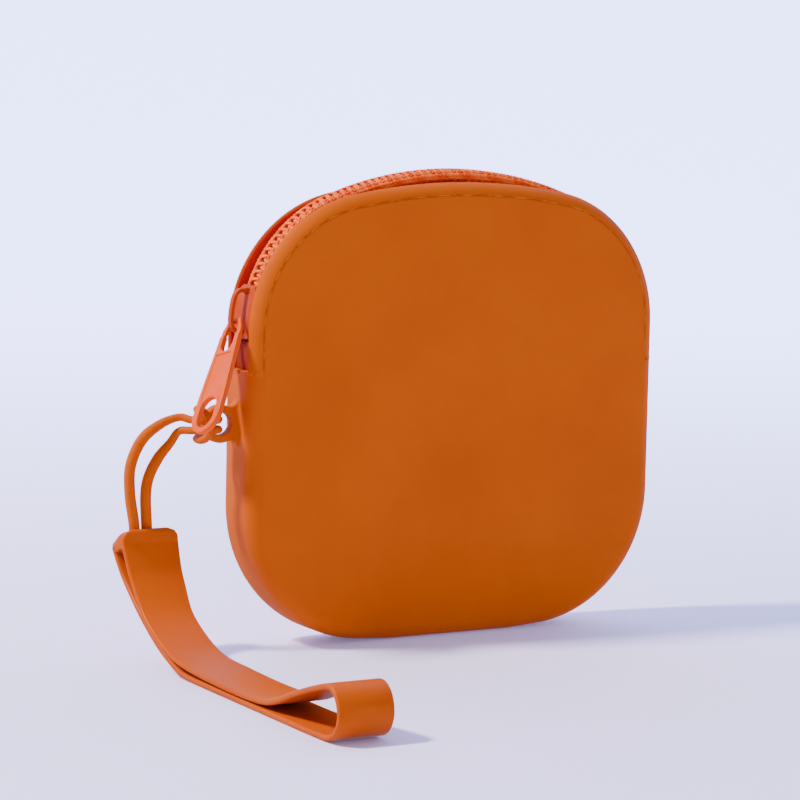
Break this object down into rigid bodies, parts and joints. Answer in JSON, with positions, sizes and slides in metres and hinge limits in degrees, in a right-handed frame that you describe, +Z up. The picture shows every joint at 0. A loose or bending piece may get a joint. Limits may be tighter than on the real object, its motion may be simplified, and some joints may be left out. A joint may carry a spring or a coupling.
{
  "type": "zip pouch",
  "caption": "Orange silicone zip pouch with rounded corners, a coil zip over the top, a slider with a long pull tab, and a flat wrist strap on a looped cord.",
  "frame": {"origin": "middle of the flat foot under the body", "axes": "+Z up, -Y toward the front panel, -X toward the slider and the lug"},
  "size_m": [0.1271, 0.1015, 0.102],
  "materials": {
    "body_silicone": "matt moulded silicone",
    "strap_silicone": "satin moulded silicone",
    "zip_nylon": "dyed nylon wire",
    "zip_tape": "woven tape",
    "slider_paint": "painted cast zinc"
  },
  "bodies": {
    "pouch": {"pouch_shell": "body_silicone", "zip_tape_front": "zip_tape", "zip_tape_back": "zip_tape", "zip_coil_front": "zip_nylon", "zip_coil_back": "zip_nylon", "zip_core_front": "zip_tape", "zip_core_back": "zip_tape", "end_stop_left": "zip_nylon", "end_stop_right": "zip_nylon"},
    "slider": {"slider_body": "slider_paint", "slider_bridge": "slider_paint"},
    "pull": {"pull_tab": "slider_paint"},
    "cord": {"strap_cord": "body_silicone"},
    "strap": {"wrist_strap": "strap_silicone"}
  },
  "joints": [
    {"name": "slider_travel", "type": "hinge", "parent": "pouch", "child": "slider", "pos_m": [-0.0184, 0, 0.068], "axis": [0, 1, 0], "range_deg": [0, 55], "deforming": ["zip_coil_front", "zip_coil_back"]},
    {"name": "pull_swing", "type": "hinge", "parent": "slider", "child": "pull", "pos_m": [-0.0513, 0, 0.0704], "axis": [-0.0888, 0.981, -0.1723], "range_deg": [0, 150]},
    {"name": "cord_swing", "type": "hinge", "parent": "pouch", "child": "cord", "pos_m": [-0.05805, 0, 0.04865], "axis": [0, 0, -1], "range_deg": [-10, 75], "deforming": ["strap_cord"]},
    {"name": "strap_lift", "type": "hinge", "parent": "cord", "child": "strap", "pos_m": [-0.069, 0.0045, 0.025], "axis": [-1, 0, 0], "range_deg": [0, 100], "deforming": ["strap_cord"]}
  ]
}
